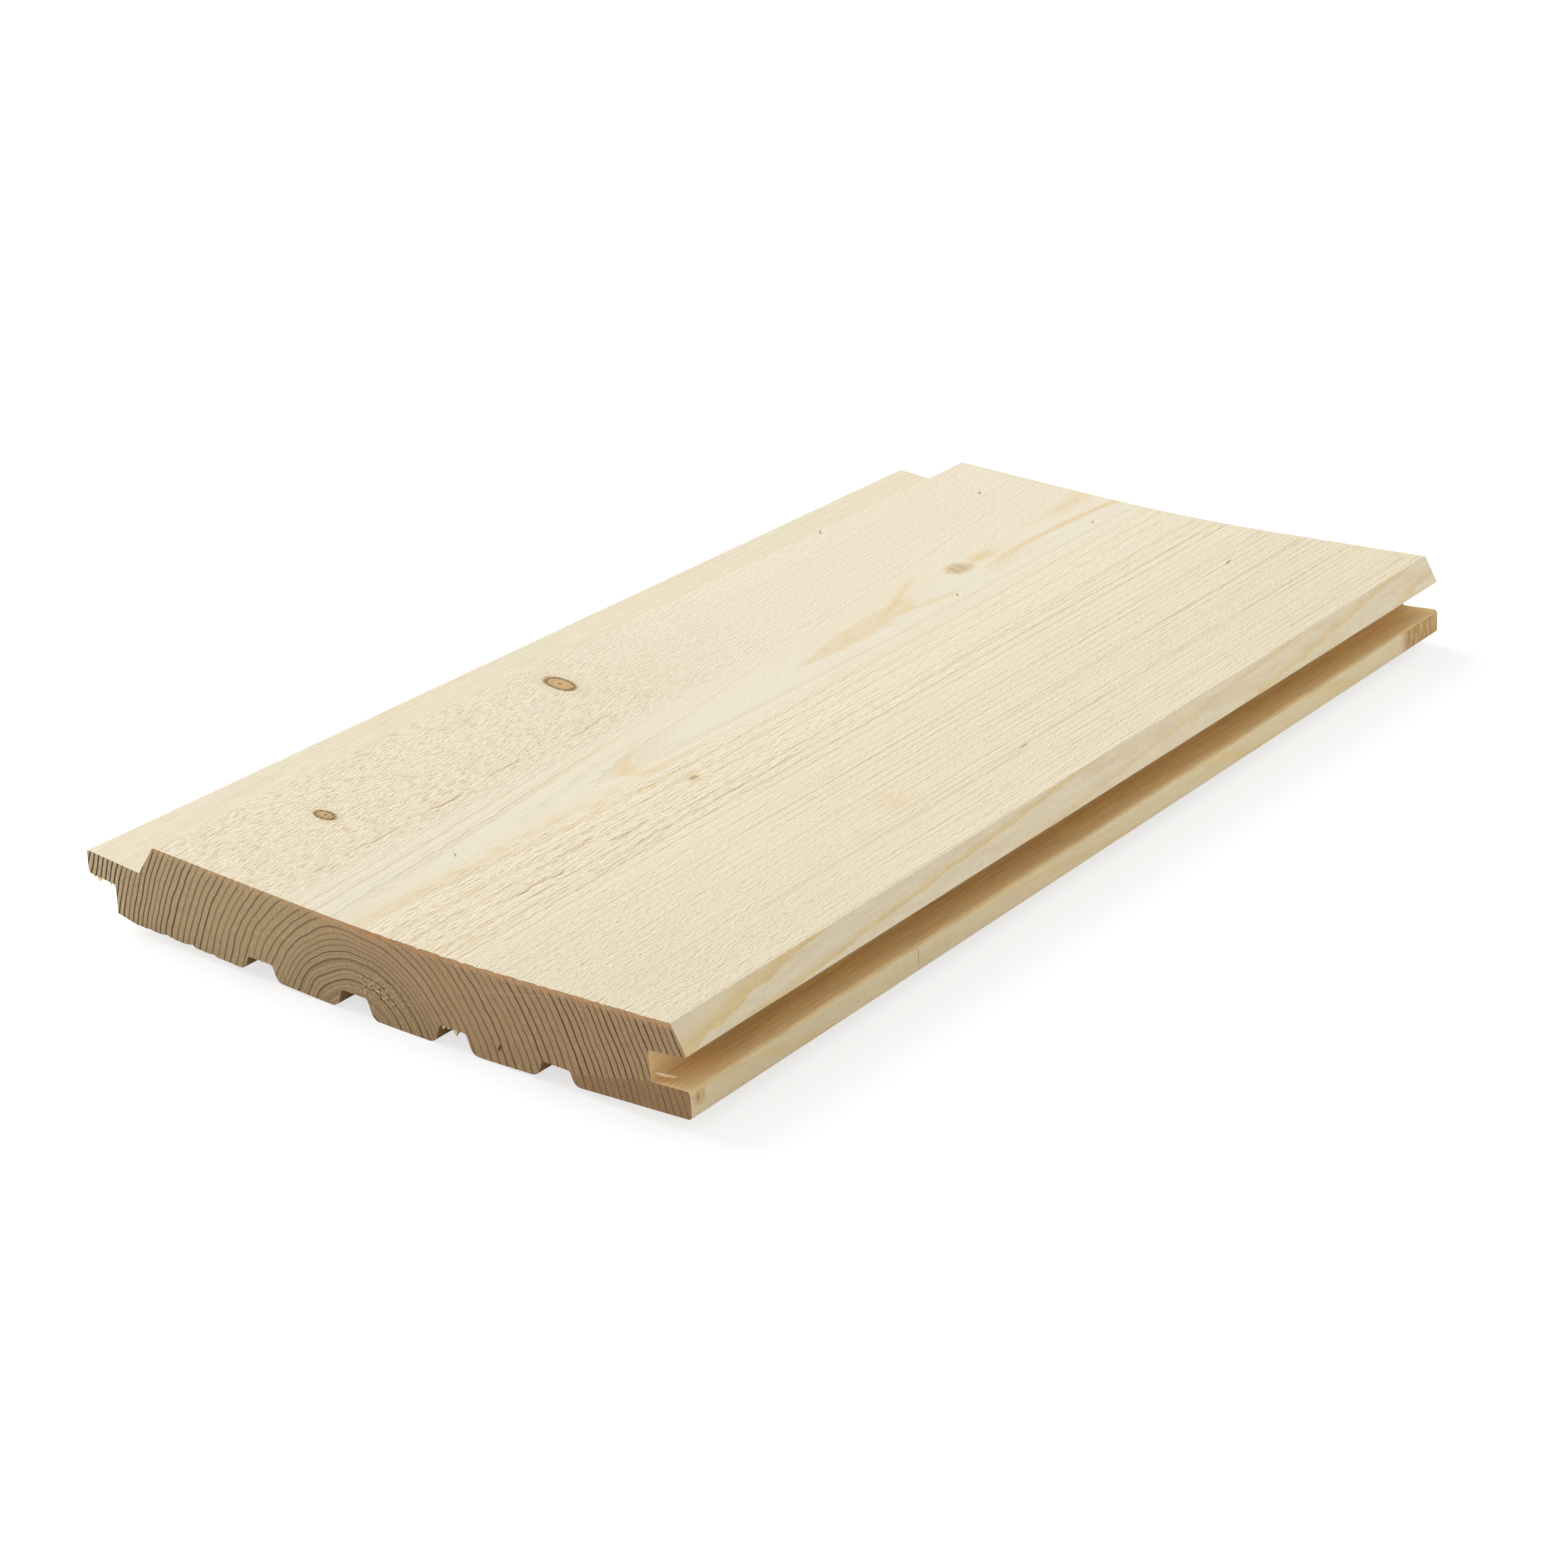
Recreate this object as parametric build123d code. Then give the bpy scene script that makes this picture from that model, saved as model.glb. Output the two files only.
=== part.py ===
"""A sawn softwood board with a tongue on one edge and a groove in the other.

The board lies flat with its rough face up. X runs across it, from the tongue to the grooved edge,
Y along it and Z up. The origin is in the middle of the board's length and width, at its lowest line.
All sizes are in millimetres.
"""
from build123d import *
from math import cos, radians, sin
import os

# the stock
length = 263.0
thickness = 18.0
face_width = 123.6

# the cup: a round middle between two straight wings, hollow on the face side
cup_radius = 650.0
wing_angle = radians(2.35)

# places across the flat board, from the middle of its face
tongue_tip = -80.3
shoulder_top = -66.1
body_side = -73.0
lip_side = 64.8
slot_back = 56.4

# depths below the face, the tongue and the slot each dipping a little towards the middle
tongue_top_at_tip = 5.9
tongue_top_at_shoulder = 6.55
tongue_thickness = 4.85
slot_top_at_mouth = 5.8
slot_top_inside = 6.3
slot_bottom_inside = 12.25
slot_bottom_at_mouth = 12.0
lip_edge_depth = 17.3

# the eased lower corner under the tongue
eased_width = 5.0
eased_height = 0.9

# relief grooves in the back, cut to one level after the board had cupped
relief_count = 4
relief_pitch = 23.8
relief_height = 4.0
relief_ceiling_width = 6.2
relief_wall_flare = 0.36
relief_mouth_round = 1.8
relief_ceiling_round = 0.7

# small rounds
tongue_lower_round = 0.9
tongue_upper_round = 0.4
lip_round = 0.8
inner_round = 0.4
face_edge_round = 0.3

# two points closer than this are the same corner
same_spot = 0.1


def cupped(across, depth):
    """A point of the flat board's section, moved to where it lies on the cupped board."""
    turn = max(-wing_angle, min(wing_angle, across / cup_radius))
    along_wing = across - turn * cup_radius
    x = (cup_radius + depth) * sin(turn) + along_wing * cos(turn)
    z = cup_radius - (cup_radius + depth) * cos(turn) + along_wing * sin(turn)
    return x, z


def cupped_line(*points):
    """Straight runs through points of the flat board's section."""
    return Polyline(*[cupped(across, depth) for across, depth in points])


def cupped_arc(depth, toward):
    """The round middle of the face or back, drawn toward the lip (1) or toward the tongue (-1)."""
    reach = cup_radius * wing_angle * toward
    return ThreePointArc(cupped(-reach, depth), cupped(0, depth), cupped(reach, depth))


def blank_section():
    """The board's section with its joint edges and no relief grooves."""
    reach = cup_radius * wing_angle
    face_edge = face_width / 2
    grooved_edge = cupped_line(
        (reach, 0),
        (face_edge, 0),
        (lip_side, slot_top_at_mouth),
        (slot_back, slot_top_inside),
        (slot_back, slot_bottom_inside),
        (lip_side, slot_bottom_at_mouth),
        (lip_side, lip_edge_depth),
        (reach, thickness),
    )
    tongue_bottom_at_tip = tongue_top_at_tip + tongue_thickness
    tongue_rise = (tongue_top_at_shoulder - tongue_top_at_tip) / (shoulder_top - tongue_tip)
    tongue_bottom_at_side = tongue_bottom_at_tip + tongue_rise * (body_side - tongue_tip)
    tongued_edge = cupped_line(
        (-reach, thickness),
        (body_side + eased_width, thickness),
        (body_side, thickness - eased_height),
        (body_side, tongue_bottom_at_side),
        (tongue_tip, tongue_bottom_at_tip),
        (tongue_tip, tongue_top_at_tip),
        (shoulder_top, tongue_top_at_shoulder),
        (-face_edge, 0),
        (-reach, 0),
    )
    face_arc = cupped_arc(0, 1)
    back_arc = cupped_arc(thickness, -1)
    return make_face([*face_arc.edges(), *grooved_edge.edges(), *back_arc.edges(), *tongued_edge.edges()])


def relief_groove(place):
    """One flared groove, open downwards, with its ceiling at the common level."""
    ceiling = relief_height - thickness
    half_ceiling = relief_ceiling_width / 2
    drop = 2 * relief_height
    half_mouth = half_ceiling + relief_wall_flare * drop
    return make_face(
        Polyline(
            (place - half_ceiling, ceiling),
            (place + half_ceiling, ceiling),
            (place + half_mouth, ceiling - drop),
            (place - half_mouth, ceiling - drop),
            close=True,
        )
    )


def corners_near(section, points):
    """The section's corners that lie at the given points."""
    spots = [Vector(*point) for point in points]
    return [v for v in section.vertices() if any((Vector(v) - spot).length < same_spot for spot in spots)]


def round_relief(section, places):
    """Rounds the mouth and the ceiling corners of every relief groove."""
    ceiling = relief_height - thickness
    reach = places[-1] + relief_pitch / 2
    low = [v for v in section.vertices() if abs(v.X) < reach and v.Y < ceiling - same_spot]
    section = fillet([v for v in low if not on_arc_end(v)], relief_mouth_round)
    level = [v for v in section.vertices() if abs(v.X) < reach and abs(v.Y - ceiling) < same_spot]
    return fillet(level, relief_ceiling_round)


def on_arc_end(vertex):
    """Whether a corner is only where the back's round middle meets a straight wing."""
    x, _ = cupped(cup_radius * wing_angle, thickness)
    return abs(abs(vertex.X) - x) < same_spot


def round_edges(section):
    """Rounds the corners of the tongue, the slot, the lip and the face's two edges."""
    face_edge = face_width / 2
    tongue_bottom = tongue_top_at_tip + tongue_thickness
    groups = [
        (tongue_lower_round, [(tongue_tip, tongue_bottom)]),
        (tongue_upper_round, [(tongue_tip, tongue_top_at_tip)]),
        (lip_round, [(lip_side, slot_bottom_at_mouth), (lip_side, lip_edge_depth)]),
        (inner_round, [(slot_back, slot_top_inside), (slot_back, slot_bottom_inside)]),
        (inner_round, [(shoulder_top, tongue_top_at_shoulder), (lip_side, slot_top_at_mouth)]),
        (face_edge_round, [(-face_edge, 0), (face_edge, 0)]),
    ]
    for radius, points in groups:
        corners = corners_near(section, [cupped(*point) for point in points])
        section = fillet(corners, radius)
    return section


def board():
    """The whole board, its section drawn once and run along its length."""
    places = [(i - (relief_count - 1) / 2) * relief_pitch for i in range(relief_count)]
    section = blank_section()
    for place in places:
        section -= relief_groove(place)
    section = round_edges(round_relief(section, places))
    solid = extrude(Plane.XZ * section, length / 2, both=True)
    box = solid.bounding_box()
    return Pos(-box.center().X, 0, -box.min.Z) * solid


os.makedirs("parts", exist_ok=True)
export_step(board(), "parts/cladding_board.step")
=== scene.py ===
from math import acos, ceil, cos, pi, radians, sin, tan

import bpy
import numpy as np
from mathutils import Matrix, Vector
from mathutils.geometry import delaunay_2d_cdt


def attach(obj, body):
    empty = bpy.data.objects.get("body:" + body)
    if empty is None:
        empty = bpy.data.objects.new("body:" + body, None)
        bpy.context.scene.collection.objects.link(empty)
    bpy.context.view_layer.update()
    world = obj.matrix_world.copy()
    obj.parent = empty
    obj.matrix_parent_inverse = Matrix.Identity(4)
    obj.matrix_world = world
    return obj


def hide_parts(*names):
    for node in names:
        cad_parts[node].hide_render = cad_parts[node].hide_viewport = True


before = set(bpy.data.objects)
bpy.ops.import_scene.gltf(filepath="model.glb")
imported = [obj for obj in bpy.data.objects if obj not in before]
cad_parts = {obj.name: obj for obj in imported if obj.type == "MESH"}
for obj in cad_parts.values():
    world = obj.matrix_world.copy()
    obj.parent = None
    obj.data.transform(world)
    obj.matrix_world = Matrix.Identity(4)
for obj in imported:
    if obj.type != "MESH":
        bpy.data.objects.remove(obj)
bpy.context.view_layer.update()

# The board lies with its rough face up: X across it, from the tongue to the slotted edge, Y along it, Z up.
# Sizes and places are in millimetres, and become metres where a mesh is made.
MM = 0.001

# the stock
length = 263.0
thickness = 18.0
face_width = 123.6

# the cup: a round middle between two straight wings, hollow on the face side
cup_radius = 650.0
wing_angle = radians(2.35)

# places across the flat board, from the middle of its face
tongue_tip = -80.3
shoulder_top = -66.1
body_side = -73.0
lip_side = 64.8
slot_back = 56.4

# depths below the face
tongue_top_at_tip = 5.9
tongue_top_at_shoulder = 6.55
tongue_thickness = 4.85
slot_top_at_mouth = 5.8
slot_top_inside = 6.3
slot_bottom_inside = 12.25
slot_bottom_at_mouth = 12.0
lip_edge_depth = 17.3
eased_width = 5.0
eased_height = 0.9

# relief grooves in the back
relief_count = 4
relief_pitch = 23.8
relief_height = 4.0
relief_ceiling_width = 6.2
relief_wall_flare = 0.36

# small rounds
relief_mouth_round = 1.8
relief_ceiling_round = 0.7
tongue_lower_round = 0.9
tongue_upper_round = 0.4
lip_round = 0.8
inner_round = 0.4
face_edge_round = 0.3

# the mesh: rows along the board, closer together at the near end, straight runs and rounds of its section,
# steps between the points of its ends, the angle past which an edge stays sharp, and spacings round its
# section, finer where the face is torn and where the back's edge is chipped
row_count = 190
near_row_share = 0.66
run_step = 8.0
round_step = radians(24)
near_end_step = 1.05
far_end_step = 1.6
sharp_edge = radians(42)
torn_side_end = 15.0
chipped_back_end = -28.0
spacing = {
    "face": 0.40,
    "smooth face": 0.62,
    "bevel": 0.55,
    "slot": 1.0,
    "lip": 0.7,
    "back": 2.6,
    "chipped back": 0.9,
    "relief": 2.4,
    "side": 1.3,
    "tongue": 0.9,
}


def cupped(across, depth):
    """A point of the flat board's section, moved to where it lies on the cupped board."""
    turn = max(-wing_angle, min(wing_angle, across / cup_radius))
    along_wing = across - turn * cup_radius
    x = (cup_radius + depth) * sin(turn) + along_wing * cos(turn)
    z = cup_radius - (cup_radius + depth) * cos(turn) + along_wing * sin(turn)
    return x, z


def cup_rise(across):
    """How far the cup lifts the face at a place across it, nearly: a round middle and straight wings."""
    wing_start = cup_radius * wing_angle
    out = above(abs(across), wing_start)
    inner = abs(across) - out
    return inner * inner / (2 * cup_radius) + wing_angle * out


def face_corners():
    """The face from its tongue edge to its slotted edge, in short straight runs."""
    edge = face_width / 2
    count = ceil(face_width / run_step)
    stops = [-edge + face_width * i / count for i in range(count)]
    rounds = [face_edge_round] + [0] * (count - 1)
    return [(*cupped(across, 0), size, "face") for across, size in zip(stops, rounds)]


def slotted_corners():
    """The bevel, the slot and the lip."""
    corners = [
        (face_width / 2, 0, face_edge_round, "bevel"),
        (lip_side, slot_top_at_mouth, inner_round, "slot"),
        (slot_back, slot_top_inside, inner_round, "slot"),
        (slot_back, slot_bottom_inside, inner_round, "slot"),
        (lip_side, slot_bottom_at_mouth, lip_round, "lip"),
        (lip_side, lip_edge_depth, lip_round, "back"),
    ]
    return [(*cupped(across, depth), size, surface) for across, depth, size, surface in corners]


def back_height(x):
    """The level of the back, before its relief grooves, at a place across the board."""
    reach = cup_radius * wing_angle
    inner_x, inner_z = cupped(reach, thickness)
    if abs(x) < inner_x:
        return cup_radius - ((cup_radius + thickness) ** 2 - x * x) ** 0.5
    outer = (lip_side, lip_edge_depth) if x > 0 else (body_side + eased_width, thickness)
    outer_x, outer_z = cupped(*outer)
    return inner_z + (outer_z - inner_z) * (abs(x) - inner_x) / (abs(outer_x) - inner_x)


def groove_mouth(place, side):
    """Where a groove's flared wall meets the back, on its right (1) or its left (-1)."""
    ceiling = relief_height - thickness
    level = -thickness
    for _ in range(8):
        x = place + side * (relief_ceiling_width / 2 + relief_wall_flare * (ceiling - level))
        level = back_height(x)
    return x, level


def back_corners():
    """The back from the lip to the eased corner, with its relief grooves."""
    ceiling = relief_height - thickness
    half = relief_ceiling_width / 2
    corners = []
    for i in reversed(range(relief_count)):
        place = (i - (relief_count - 1) / 2) * relief_pitch
        right = groove_mouth(place, 1)
        left = groove_mouth(place, -1)
        if corners:
            corners += back_run(corners[-1][0], right[0])
        corners += [
            (*right, relief_mouth_round, "relief"),
            (place + half, ceiling, relief_ceiling_round, "relief"),
            (place - half, ceiling, relief_ceiling_round, "relief"),
            (*left, relief_mouth_round, "back"),
        ]
    return corners


def back_run(start, end):
    """Points on the back between two grooves."""
    return [(x, back_height(x), 0, "back") for x in np.linspace(start, end, 5)[1:-1]]


def tongued_corners():
    """The eased corner, the side under the tongue, the tongue and its shoulder."""
    bottom_at_tip = tongue_top_at_tip + tongue_thickness
    rise = (tongue_top_at_shoulder - tongue_top_at_tip) / (shoulder_top - tongue_tip)
    bottom_at_side = bottom_at_tip + rise * (body_side - tongue_tip)
    corners = [
        (body_side + eased_width, thickness, 0, "side"),
        (body_side, thickness - eased_height, 0, "side"),
        (body_side, bottom_at_side, 0, "tongue"),
        (tongue_tip, bottom_at_tip, tongue_lower_round, "side"),
        (tongue_tip, tongue_top_at_tip, tongue_upper_round, "tongue"),
        (shoulder_top, tongue_top_at_shoulder, inner_round, "side"),
    ]
    return [(*cupped(across, depth), size, surface) for across, depth, size, surface in corners]


def rounded_corner(before, corner, after, size):
    """Points on the round that replaces a corner."""
    corner, before, after = Vector(corner), Vector(before), Vector(after)
    back = (before - corner).normalized()
    ahead = (after - corner).normalized()
    opening = acos(max(-1, min(1, back.dot(ahead))))
    reach = size / tan(opening / 2)
    middle = corner + (back + ahead).normalized() * size / sin(opening / 2)
    first = corner + back * reach - middle
    turn = pi - opening
    side = 1 if back.cross(ahead) > 0 else -1
    count = ceil(turn / round_step)
    arc = []
    for i in range(count + 1):
        spin = -side * turn * i / count
        arc.append((
            middle.x + first.x * cos(spin) - first.y * sin(spin),
            middle.y + first.x * sin(spin) + first.y * cos(spin),
        ))
    return arc


def section_outline():
    """Every point of the section, clockwise from the face's tongue edge, and the surface after each."""
    corners = face_corners() + slotted_corners() + back_corners() + tongued_corners()
    outline = []
    for i, (x, z, size, surface) in enumerate(corners):
        if not size:
            outline.append((x, z, surface))
            continue
        before = corners[i - 1]
        after = corners[(i + 1) % len(corners)]
        arc = rounded_corner(before[:2], (x, z), after[:2], size)
        middle = len(arc) / 2
        outline += [(*point, before[3] if k < middle else surface) for k, point in enumerate(arc)]
    return outline


def divided(outline):
    """The outline with its runs cut to the spacing of their surface."""
    points = []
    surfaces = []
    for i, (x, z, surface) in enumerate(outline):
        next_x, next_z, _ = outline[(i + 1) % len(outline)]
        kind = surface
        if surface == "face" and x > torn_side_end:
            kind = "smooth face"
        if surface == "back" and x < chipped_back_end:
            kind = "chipped back"
        run = ((next_x - x) ** 2 + (next_z - z) ** 2) ** 0.5
        count = max(1, round(run / spacing[kind]))
        for k in range(count):
            points.append((x + (next_x - x) * k / count, z + (next_z - z) * k / count))
            surfaces.append(surface)
    return np.array(points), surfaces


outline, surfaces = divided(section_outline())
face_middle = -(outline[:, 0].min() + outline[:, 0].max()) / 2
face_height = -outline[:, 1].min()
outline += (face_middle, face_height)

# levels of the bevel's and the lip's edges
bevel_top = face_height + cupped(face_width / 2, 0)[1]
bevel_bottom = face_height + cupped(lip_side, slot_top_at_mouth)[1]
lip_top = face_height + cupped(lip_side, slot_bottom_at_mouth)[1]
lip_bottom = face_height + cupped(lip_side, lip_edge_depth)[1]


class Value:
    """One value of a finish's nodes. Arithmetic on it adds Math nodes."""

    def __init__(self, finish, socket):
        self.finish = finish
        self.socket = socket

    def math(self, operation, *values, **settings):
        sockets = dict(enumerate(values))
        return self.finish.node("ShaderNodeMath", {"operation": operation, **settings}, sockets)

    def __add__(self, other):
        return self.math("ADD", self, other)

    def __radd__(self, other):
        return self.math("ADD", other, self)

    def __sub__(self, other):
        return self.math("SUBTRACT", self, other)

    def __rsub__(self, other):
        return self.math("SUBTRACT", other, self)

    def __mul__(self, other):
        return self.math("MULTIPLY", self, other)

    def __rmul__(self, other):
        return self.math("MULTIPLY", other, self)

    def __truediv__(self, other):
        return self.math("DIVIDE", self, other)

    def __rtruediv__(self, other):
        return self.math("DIVIDE", other, self)

    def __pow__(self, other):
        return self.math("POWER", self, other)

    def __mod__(self, other):
        return self.math("FLOORED_MODULO", self, other)

    def __neg__(self):
        return self.math("MULTIPLY", self, -1)

    def __abs__(self):
        return self.math("ABSOLUTE", self)

    def output(self, name):
        """Another output of the same node."""
        return Value(self.finish, self.socket.node.outputs[name])


class Finish:
    """A material and its nodes."""

    def __init__(self, name):
        self.material = bpy.data.materials.new(name)
        self.material.use_nodes = True
        self.tree = self.material.node_tree
        self.tree.nodes.clear()

    def node(self, kind, settings=None, sockets=None, output=0):
        """Adds a node: its settings first, then the values or links of its sockets."""
        made = self.tree.nodes.new(kind)
        for name, setting in (settings or {}).items():
            setattr(made, name, setting)
        for name, value in (sockets or {}).items():
            if isinstance(value, Value):
                self.tree.links.new(value.socket, made.inputs[name])
            else:
                made.inputs[name].default_value = value
        return Value(self, made.outputs[output]) if made.outputs else None

    def place(self):
        """Across, along and up on the board, in millimetres."""
        position = self.node("ShaderNodeTexCoord", output="Object")
        parts = self.node("ShaderNodeSeparateXYZ", sockets={0: position})
        return parts * (1 / MM), parts.output("Y") * (1 / MM), parts.output("Z") * (1 / MM)

    def noise(self, across, along, detail=2.0, roughness=0.5):
        """Random waves about one unit of the given coordinates long, from 0 to 1."""
        vector = self.node("ShaderNodeCombineXYZ", sockets={0: across, 1: along})
        sockets = {"Vector": vector, "Scale": 1.0, "Detail": detail, "Roughness": roughness}
        return self.node("ShaderNodeTexNoise", {"noise_dimensions": "2D"}, sockets)

    def blend(self, first, second, share):
        """One colour turning into another."""
        sockets = {0: share, 6: first, 7: second}
        return self.node("ShaderNodeMix", {"data_type": "RGBA"}, sockets, output=2)

    def shaded(self, color, share):
        """A colour multiplied by a grey value."""
        grey = self.node("ShaderNodeCombineColor", sockets={0: share, 1: share, 2: share})
        settings = {"data_type": "RGBA", "blend_type": "MULTIPLY"}
        return self.node("ShaderNodeMix", settings, {0: 1.0, 6: color, 7: grey}, output=2)

    def wood(self, color, roughness, height):
        """Ends the finish as bare wood, with fine relief whose height is in millimetres."""
        sockets = {"Height": height, "Strength": 1.0, "Distance": MM}
        normal = self.node("ShaderNodeBump", sockets=sockets)
        settings = {
            "Base Color": color,
            "Roughness": roughness,
            "Specular IOR Level": 0.25,
            "Normal": normal,
        }
        surface = self.node("ShaderNodeBsdfPrincipled", sockets=settings)
        self.node("ShaderNodeOutputMaterial", sockets={"Surface": surface})
        return self.material


def tint(red, green, blue):
    """A colour from its screen values, 0 to 255."""
    screen = np.array((red, green, blue)) / 255
    light = np.where(screen <= 0.04045, screen / 12.92, ((screen + 0.055) / 1.055) ** 2.4)
    return (*light.tolist(), 1.0)


def held(value):
    """A number, array or shader value kept between 0 and 1."""
    if isinstance(value, Value):
        return value.math("ADD", value, 0.0, use_clamp=True)
    return np.clip(value, 0, 1)


def ease(value, low, high):
    """0 below low and 1 above high, with a smooth rise between them."""
    if isinstance(value, Value):
        sockets = {"Value": value, "From Min": low, "From Max": high}
        return value.finish.node("ShaderNodeMapRange", {"interpolation_type": "SMOOTHSTEP"}, sockets)
    part = held((value - low) / (high - low))
    return part * part * (3 - 2 * part)


def hump(value, middle, reach):
    """1 at the middle, falling smoothly to 0 at the reach on both sides."""
    return 1 - ease(abs(value - middle), 0, reach)


def above(value, level):
    """How far a value is past a level, or 0 below it."""
    whole = 200.0
    return whole * held((value - level) / whole)


def wave(value):
    """The sine of an array or a shader value."""
    if isinstance(value, Value):
        return value.math("SINE", value)
    return np.sin(value)


# the tree: where its pith passes the board's near end, and how it runs along the board
pith_across = -4.6
pith_up = -3.8
pith_drift = -0.0625
pith_rise = 0.005
trunk_taper = 0.0007

# its rings: years a millimetre by the pith, and how many more past each radius
years_by_pith = 0.42
more_years = ((20, 0.12), (38, 0.06), (56, 0.12))

# late wood: where in each year it begins, is full, and begins and ends its sharp outer edge
late_wood_span = (0.62, 0.9, 0.94, 1.0)

# how the rings bend round the grey knot, in years, over how far, and how far the near flames lean
bend_years = 0.5
bend_width = 15
bend_length = 42
flame_lean = 3.0

# the rings are ovals whose middle moves off the pith as they grow
ring_flatness = 0.87
ring_shift_across = 0.07
ring_shift_up = -0.2


def ring_radius(x, y, z):
    """The radius, at the near end, of the ring through a point."""
    from_end = y + length / 2
    across = x - (pith_across + pith_drift * from_end)
    up = z - (pith_up + pith_rise * from_end)
    a = 1 - ring_shift_across ** 2 - ring_flatness * ring_shift_up ** 2
    b = ring_shift_across * across + (ring_flatness * ring_shift_up) * up
    c = across * across + up * up * ring_flatness
    return ((b * b + c * a) ** 0.5 - b) / a * (1 - trunk_taper * from_end)


def ring_number(radius):
    """How many years lie inside a radius: wide rings first, then narrow, wider and narrow again."""
    years = years_by_pith * radius
    for start, more in more_years:
        years = years + more * above(radius, start)
    return years + 1.95 * ease(radius, 16.5, 24.0) - 0.18 * hump(radius, 25.4, 2.4) - 0.18


def grain_bend(u, y):
    """How far the rings bend round the grey knot and wander, in years."""
    across = (u - grey_knot["across"]) / bend_width
    along = (y - grey_knot["along"]) / bend_length
    bend = bend_years * (1 - ease((across * across + along * along) ** 0.5, 0, 1))
    wander = 0.05 * wave(0.19 * u + 0.023 * y + 1.0) + 0.04 * wave(0.061 * y - 0.12 * u)
    return bend + wander


def board_years(x, y, z):
    """The ring number of a point of the board. By the near end its flames lean toward the tongue."""
    u = x - face_middle
    lean = flame_lean * hump(u, -12.0, 17.0) * (1 - ease(y, -131, -62)) * ease(z, 11, 18.5)
    return ring_number(ring_radius(x + lean, y, z)) + grain_bend(u, y)


def late_wood(years):
    """0 in the pale wood of each year, 1 in its dark late wood, with a sharp outer edge."""
    part = years % 1
    start, full, edge, end = late_wood_span
    return ease(part, start, full) * (1 - ease(part, edge, end))


def ring_strength(years):
    """How dark the late wood of each year is, uneven from year to year."""
    year = years - years % 1
    return 0.62 + 0.38 * wave(year * 2.4) * wave(year * 1.3 + 0.6)


def bare_noise(across, along, across_size, along_size, seed):
    """Smooth random values from 0 to 1 for a mesh, in cells of the given size."""
    cells = 512
    table = np.random.default_rng(seed).random((cells, cells))
    a = across / across_size
    b = along / along_size
    first_a = np.floor(a).astype(int)
    first_b = np.floor(b).astype(int)
    part_a = a - first_a
    part_b = b - first_b
    part_a = part_a * part_a * (3 - 2 * part_a)
    part_b = part_b * part_b * (3 - 2 * part_b)
    low = table[first_a % cells, first_b % cells] * (1 - part_a)
    low += table[(first_a + 1) % cells, first_b % cells] * part_a
    high = table[first_a % cells, (first_b + 1) % cells] * (1 - part_a)
    high += table[(first_a + 1) % cells, (first_b + 1) % cells] * part_a
    return low * (1 - part_b) + high * part_b


# knots in the face: place across from its middle and along the board, width across, length along, lean
dark_knot = dict(across=-46.3, along=-102.0, width=5.2, length=3.1, lean=-0.05)
ringed_knot = dict(across=-51.5, along=-28.3, width=8.3, length=4.5, lean=-0.10)
pin_knot = dict(across=-0.95, along=-47.6, width=2.6, length=2.6, lean=0.0)
grey_knot = dict(across=-23.0, along=73.9, width=6.2, length=9.0, lean=0.0)

# long tears and deep grain lines: across at the start of each, from, to, drift across, depth
tears = [
    (-30.9, -122.0, -116.0, 0.0, 0.22),
    (-31.3, -111.0, -96.0, -0.01, 0.26),
    (-31.8, -93.0, -78.0, -0.02, 0.28),
    (-33.2, -73.0, -60.0, -0.03, 0.2),
    (-31.9, -49.0, -33.0, -0.12, 0.22),
    (1.9, -132.0, -114.0, -0.03, 0.2),
    (5.2, -112.0, -92.0, 0.03, 0.34),
    (4.9, -80.0, -66.0, 0.01, 0.26),
    (1.4, -98.0, -78.0, -0.03, 0.22),
    (9.3, -80.0, -66.0, 0.01, 0.34),
    (9.5, -62.0, -26.0, -0.02, 0.2),
    (12.6, -131.0, -70.0, -0.02, 0.14),
    (7.8, 10.0, 131.0, -0.03, 0.13),
    (47.4, -92.0, -4.0, -0.005, 0.12),
    (45.4, -14.0, 131.0, -0.014, 0.14),
    (34.4, 4.0, 131.0, -0.023, 0.13),
    (57.8, 74.0, 131.0, 0.0, 0.12),
]
deepest_tear = 0.34

# short dark marks left by the saw: place, width, length along, and how far each leans across for its length
flecks = [
    dict(across=-15.2, along=-99.8, width=0.7, length=1.3, lean=-1.3),
    dict(across=-60.9, along=73.2, width=0.7, length=2.6, lean=-0.8),
    dict(across=-46.5, along=116.5, width=0.7, length=2.0, lean=-0.4),
    dict(across=-14.2, along=60.7, width=0.6, length=1.6, lean=-0.6),
    dict(across=-14.8, along=116.0, width=0.6, length=1.8, lean=-0.3),
    dict(across=25.2, along=109.0, width=0.7, length=3.6, lean=-0.2),
    dict(across=45.5, along=-2.8, width=0.5, length=3.6, lean=0.0),
]

# how far across the face its short marks run for each millimetre along it: on the left they lean at the near
# end, and lean more with every millimetre
left_lean = 0.03
left_lean_growth = 0.0003
right_lean = 0.03

# the width of the small steps that the saw tore in it
torn_step_width = 1.2

# depths of the relief in the mesh
left_tear_depth = 0.055
middle_tear_depth = 0.12
ring_depth = 0.05
face_wave_depth = 0.05
face_chip_depth = 0.4
knot_edge_depth = 0.12
planer_wave_depth = 0.02
back_chip_depth = 0.7
end_saw_depth = 0.05
crumbled_depth = 0.18


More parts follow.
